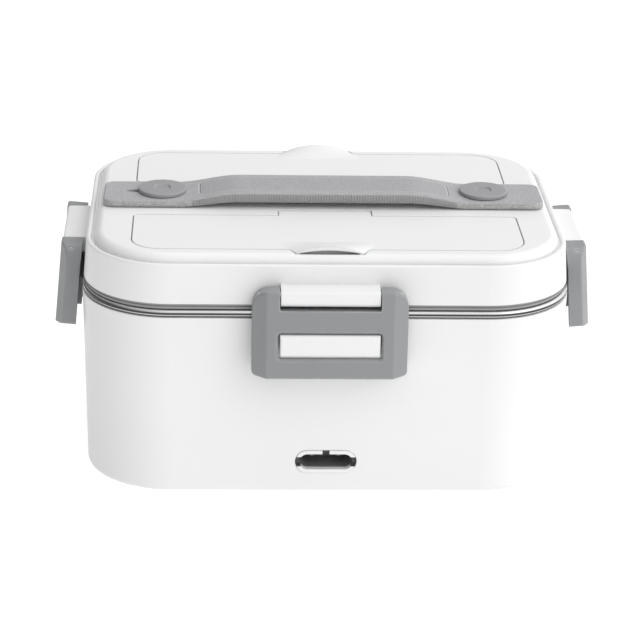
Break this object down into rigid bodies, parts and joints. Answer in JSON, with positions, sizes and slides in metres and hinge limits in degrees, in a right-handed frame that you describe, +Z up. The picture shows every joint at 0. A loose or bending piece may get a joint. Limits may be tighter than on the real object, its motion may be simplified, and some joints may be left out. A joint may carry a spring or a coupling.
{
  "type": "electric lunch box",
  "caption": "Electric lunch box: heated housing, lift-out steel container and a latched lift-off lid with hinged flaps over shallow wells and a strap handle.",
  "frame": {"origin": "on the table under the middle of the box, at the bottom of the feet", "axes": "+Z up, the front with the power inlet faces -Y, +X to the right along the strap"},
  "size_m": [0.2424, 0.1864, 0.119],
  "materials": {
    "housing": "satin",
    "lid": "satin",
    "latch": "satin",
    "silicone": "matt",
    "feet": "matt",
    "steel": "satin",
    "plate": "satin",
    "heater": "satin",
    "spring_steel": "satin",
    "screws": "satin",
    "inlet_rim": "glossy",
    "socket": "glossy",
    "pins": "polished",
    "wires": "matt",
    "bakelite": "matt",
    "strap": "grained",
    "button": "satin"
  },
  "bodies": {
    "base": {"outer_housing": "housing", "bottom_cover": "housing", "rubber_feet": "feet", "cover_screws": "screws", "inner_tub": "housing", "heating_plate": "plate", "heater_elements": "heater", "heater_clamp": "spring_steel", "clamp_screws": "screws", "thermostat": "bakelite", "thermal_fuse": "spring_steel", "inlet_bezel": "inlet_rim", "inlet_socket": "socket", "inlet_pins": "pins", "internal_wires": "wires"},
    "container": {"steel_container": "steel"},
    "lid": {"lid_shell": "lid", "lid_top_plate": "lid", "front_tray": "lid", "rear_tray": "lid", "lid_inner_plate": "lid", "sealing_ring": "silicone", "vent_grommet": "silicone", "lid_screws": "screws", "strap_button_left": "button", "strap_button_right": "button", "strap_screws": "screws", "front_flap_pin": "screws", "rear_flap_pin": "screws", "latch_pin_front": "screws", "latch_pin_back": "screws", "latch_pin_left": "screws", "latch_pin_right": "screws"},
    "front_flap": {"front_flap": "lid"},
    "rear_flap": {"rear_flap": "lid"},
    "strap_left": {"strap_left_end": "strap", "strap_left_bend": "strap"},
    "strap_middle": {"strap_grip": "strap"},
    "strap_right": {"strap_right_end": "strap", "strap_right_bend": "strap"},
    "latch_front": {"latch_front": "latch"},
    "latch_back": {"latch_back": "latch"},
    "latch_left": {"latch_left": "latch"},
    "latch_right": {"latch_right": "latch"}
  },
  "joints": [
    {"name": "lid_lift", "type": "slide", "parent": "base", "child": "lid", "axis": [0, 0, 1], "range_m": [0, 0.25]},
    {"name": "container_lift", "type": "slide", "parent": "base", "child": "container", "axis": [0, 0, 1], "range_m": [0, 0.125]},
    {"name": "front_flap_hinge", "type": "hinge", "parent": "lid", "child": "front_flap", "pos_m": [0, -0.0176, 0.1096], "axis": [-1, 0, 0], "range_deg": [0, 85]},
    {"name": "rear_flap_hinge", "type": "hinge", "parent": "lid", "child": "rear_flap", "pos_m": [0, 0.0176, 0.1096], "axis": [1, 0, 0], "range_deg": [0, 85]},
    {"name": "strap_left_slide", "type": "slide", "parent": "lid", "child": "strap_left", "axis": [1, 0, 0], "range_m": [0, 0.0141]},
    {"name": "strap_lift", "type": "slide", "parent": "strap_left", "child": "strap_middle", "axis": [-0.3905, 0, 0.9206], "range_m": [0, 0.03585], "deforming": ["strap_left_bend"]},
    {"name": "strap_right_slide", "type": "slide", "parent": "strap_middle", "child": "strap_right", "axis": [-0.3905, 0, -0.9206], "range_m": [0, 0.03595], "deforming": ["strap_right_bend"]},
    {"name": "latch_front_hinge", "type": "hinge", "parent": "lid", "child": "latch_front", "pos_m": [0, -0.0855, 0.0978], "axis": [-1, 0, 0], "range_deg": [0, 95]},
    {"name": "latch_back_hinge", "type": "hinge", "parent": "lid", "child": "latch_back", "pos_m": [0, 0.0855, 0.0978], "axis": [1, 0, 0], "range_deg": [0, 95]},
    {"name": "latch_left_hinge", "type": "hinge", "parent": "lid", "child": "latch_left", "pos_m": [-0.1135, 0, 0.0978], "axis": [0, 1, 0], "range_deg": [0, 95]},
    {"name": "latch_right_hinge", "type": "hinge", "parent": "lid", "child": "latch_right", "pos_m": [0.1135, 0, 0.0978], "axis": [0, -1, 0], "range_deg": [0, 95]}
  ],
  "couplings": [
    {"joint": "container_lift", "follows": "lid_lift", "ratio": 0.5},
    {"joint": "strap_left_slide", "follows": "strap_lift", "ratio": 0.39055},
    {"joint": "strap_right_slide", "follows": "strap_lift", "ratio": 1}
  ]
}
